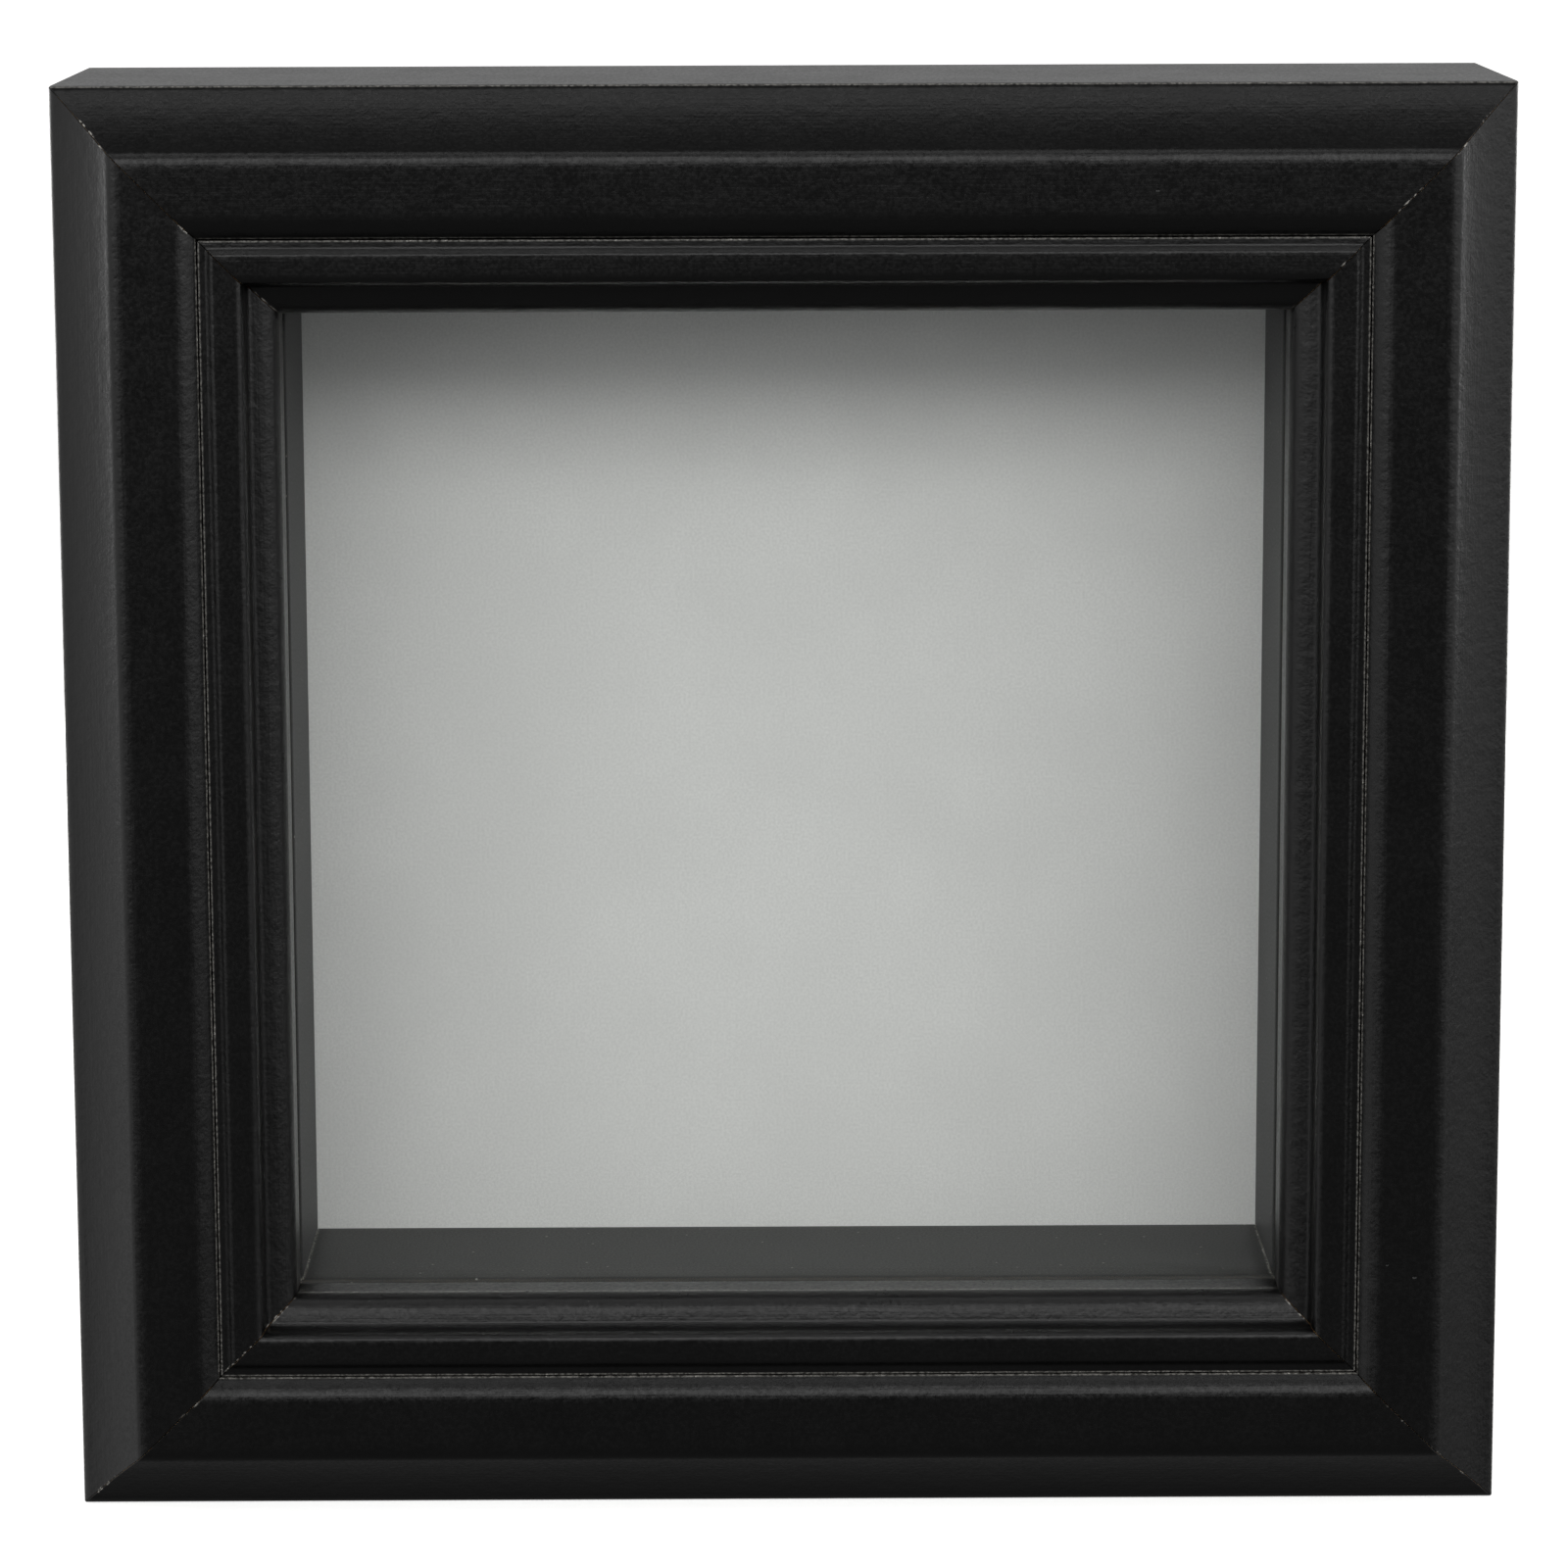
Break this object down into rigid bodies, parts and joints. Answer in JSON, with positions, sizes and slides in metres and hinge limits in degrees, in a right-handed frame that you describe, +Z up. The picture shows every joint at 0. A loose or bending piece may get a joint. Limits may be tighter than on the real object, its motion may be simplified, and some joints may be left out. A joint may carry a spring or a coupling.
{
  "type": "shadow box",
  "caption": "Square black wooden shadow box: deep mitred moulding with an inner bead, glass front, black spacer walls, pale lined back panel, turn buttons and D-ring hangers.",
  "frame": {"origin": "middle of the base: centred in X and Y on the whole object, with Z = 0 on the underside of the bottom rail", "axes": "+X to the viewer's right, +Y from the glass front to the back, +Z up"},
  "size_m": [0.286, 0.0884, 0.286],
  "materials": {
    "black_painted_wood": "satin black paint",
    "black_spacer": "dull black paint",
    "picture_glass": "clear float glass",
    "lining_paper": "matt pale grey paper",
    "hardboard": "bare brown hardboard",
    "zinc_plated_steel": "bright zinc plate",
    "rubber": "matt black rubber"
  },
  "bodies": {
    "frame": {"rail_top": "black_painted_wood", "rail_right": "black_painted_wood", "rail_bottom": "black_painted_wood", "rail_left": "black_painted_wood", "bead_top": "black_painted_wood", "bead_right": "black_painted_wood", "bead_bottom": "black_painted_wood", "bead_left": "black_painted_wood", "spacer_top": "black_spacer", "spacer_right": "black_spacer", "spacer_bottom": "black_spacer", "spacer_left": "black_spacer", "glass": "picture_glass", "button_screw_top": "zinc_plated_steel", "button_screw_right": "zinc_plated_steel", "button_screw_bottom": "zinc_plated_steel", "button_screw_left": "zinc_plated_steel", "v_nail_top_right_outer": "zinc_plated_steel", "v_nail_top_right_inner": "zinc_plated_steel", "v_nail_bottom_right_outer": "zinc_plated_steel", "v_nail_bottom_right_inner": "zinc_plated_steel", "v_nail_bottom_left_outer": "zinc_plated_steel", "v_nail_bottom_left_inner": "zinc_plated_steel", "v_nail_top_left_outer": "zinc_plated_steel", "v_nail_top_left_inner": "zinc_plated_steel", "hanger_strap_left": "zinc_plated_steel", "hanger_strap_right": "zinc_plated_steel", "hanger_screw_left": "zinc_plated_steel", "hanger_screw_right": "zinc_plated_steel", "bumper_left": "rubber", "bumper_right": "rubber"},
    "back": {"back_panel": "hardboard", "lining": "lining_paper"},
    "button_top": {"turn_button_top": "zinc_plated_steel"},
    "button_right": {"turn_button_right": "zinc_plated_steel"},
    "button_bottom": {"turn_button_bottom": "zinc_plated_steel"},
    "button_left": {"turn_button_left": "zinc_plated_steel"},
    "ring_left": {"hanger_ring_left": "zinc_plated_steel"},
    "ring_right": {"hanger_ring_right": "zinc_plated_steel"}
  },
  "joints": [
    {"name": "back_slide", "type": "slide", "parent": "frame", "child": "back", "axis": [0, 1, 0], "range_m": [0, 0.06]},
    {"name": "button_top_turn", "type": "hinge", "parent": "frame", "child": "button_top", "pos_m": [0, 0.0234, 0.25435], "axis": [0, 1, 0], "range_deg": [0, 90]},
    {"name": "button_right_turn", "type": "hinge", "parent": "frame", "child": "button_right", "pos_m": [0.11135, 0.0234, 0.143], "axis": [0, 1, 0], "range_deg": [0, 90]},
    {"name": "button_bottom_turn", "type": "hinge", "parent": "frame", "child": "button_bottom", "pos_m": [0, 0.0234, 0.03165], "axis": [0, 1, 0], "range_deg": [0, 90]},
    {"name": "button_left_turn", "type": "hinge", "parent": "frame", "child": "button_left", "pos_m": [-0.11135, 0.0234, 0.143], "axis": [0, 1, 0], "range_deg": [0, 90]},
    {"name": "ring_left_swing", "type": "hinge", "parent": "frame", "child": "ring_left", "pos_m": [-0.13125, 0.04145, 0.206], "axis": [1, 0, 0], "range_deg": [0, 180]},
    {"name": "ring_right_swing", "type": "hinge", "parent": "frame", "child": "ring_right", "pos_m": [0.13125, 0.04145, 0.206], "axis": [1, 0, 0], "range_deg": [0, 180]}
  ]
}
